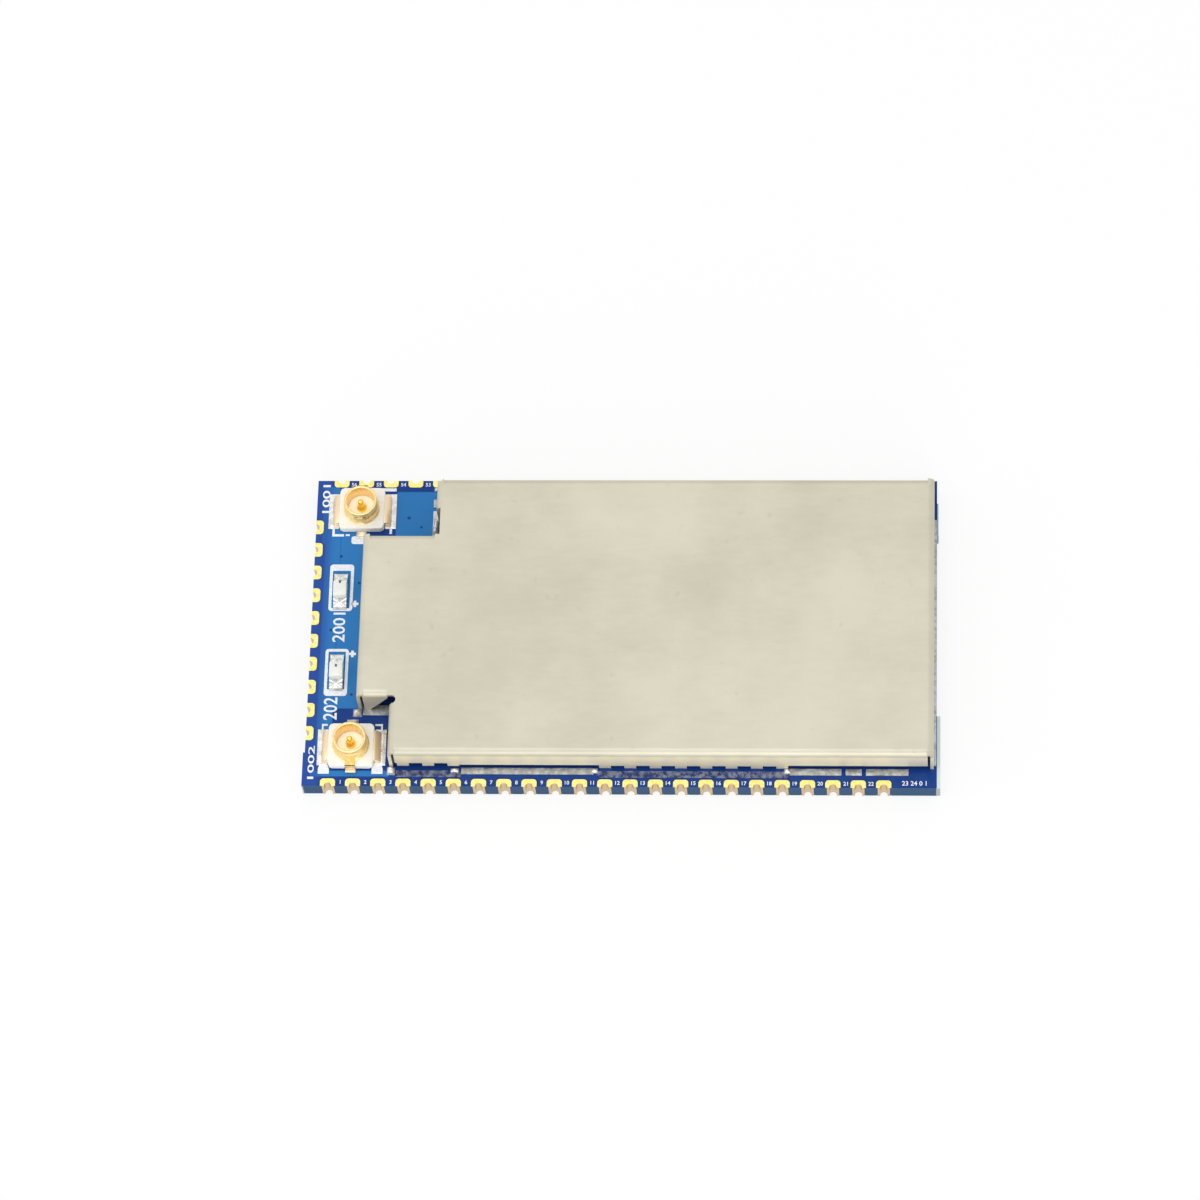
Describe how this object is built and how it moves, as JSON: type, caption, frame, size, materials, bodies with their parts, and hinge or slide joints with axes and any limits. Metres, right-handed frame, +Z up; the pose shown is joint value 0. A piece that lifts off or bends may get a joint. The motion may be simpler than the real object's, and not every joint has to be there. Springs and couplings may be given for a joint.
{
  "type": "wifi module",
  "caption": "Flat castellated wireless module: a blue carrier board with a folded shielding can, coaxial antenna sockets in two corners and indicator lamps between them.",
  "frame": {"origin": "under the middle of the overall outline, on the plane of the board's underside", "axes": "+X along the long side towards the plain short edge, +Y from the front row of pads to the back row, +Z up through the shielding can"},
  "size_m": [0.0378, 0.02, 0.0035],
  "materials": {
    "mask_board": "glass laminate with a glossy blue solder mask",
    "gold_plate": "gold-plated copper",
    "tin": "tinned copper and solder",
    "can_sheet": "satin nickel silver sheet",
    "solder": "shiny solder",
    "white_resin": "moulded white resin",
    "barrel_gold": "satin gold plate over bronze",
    "lens_resin": "clear resin",
    "lamp_die": "small semiconductor die",
    "black_epoxy": "moulded black epoxy",
    "chip_ceramic": "fired brown ceramic",
    "pale_ceramic": "fired pale ceramic",
    "ferrite": "pressed ferrite"
  },
  "bodies": {
    "root": {"circuit_board": "mask_board", "front_pads": "gold_plate", "left_pads": "gold_plate", "back_pads": "gold_plate", "shield_can": "can_sheet", "shield_lands": "tin", "shield_solder": "solder", "socket_1_housing": "white_resin", "socket_1_shell": "barrel_gold", "socket_1_contact": "gold_plate", "socket_1_lands": "tin", "socket_2_housing": "white_resin", "socket_2_shell": "barrel_gold", "socket_2_contact": "gold_plate", "socket_2_lands": "tin", "lamp_1_base": "white_resin", "lamp_1_lens": "lens_resin", "lamp_1_die": "lamp_die", "lamp_1_terminals": "tin", "lamp_2_base": "white_resin", "lamp_2_lens": "lens_resin", "lamp_2_die": "lamp_die", "lamp_2_terminals": "tin", "lamp_lands": "tin", "processor_body": "black_epoxy", "processor_contacts": "gold_plate", "memory_body": "black_epoxy", "memory_balls": "tin", "flash_body": "black_epoxy", "flash_leads": "tin", "crystal_base": "chip_ceramic", "crystal_lid": "can_sheet", "choke_cores": "ferrite", "choke_terminals": "tin", "regulator_bodies": "black_epoxy", "regulator_leads": "tin", "radio_amplifiers": "black_epoxy", "radio_filters": "pale_ceramic", "filter_terminals": "tin", "capacitor_bodies": "chip_ceramic", "capacitor_terminals": "tin", "resistor_bodies": "black_epoxy", "resistor_terminals": "tin"}
  },
  "joints": []
}
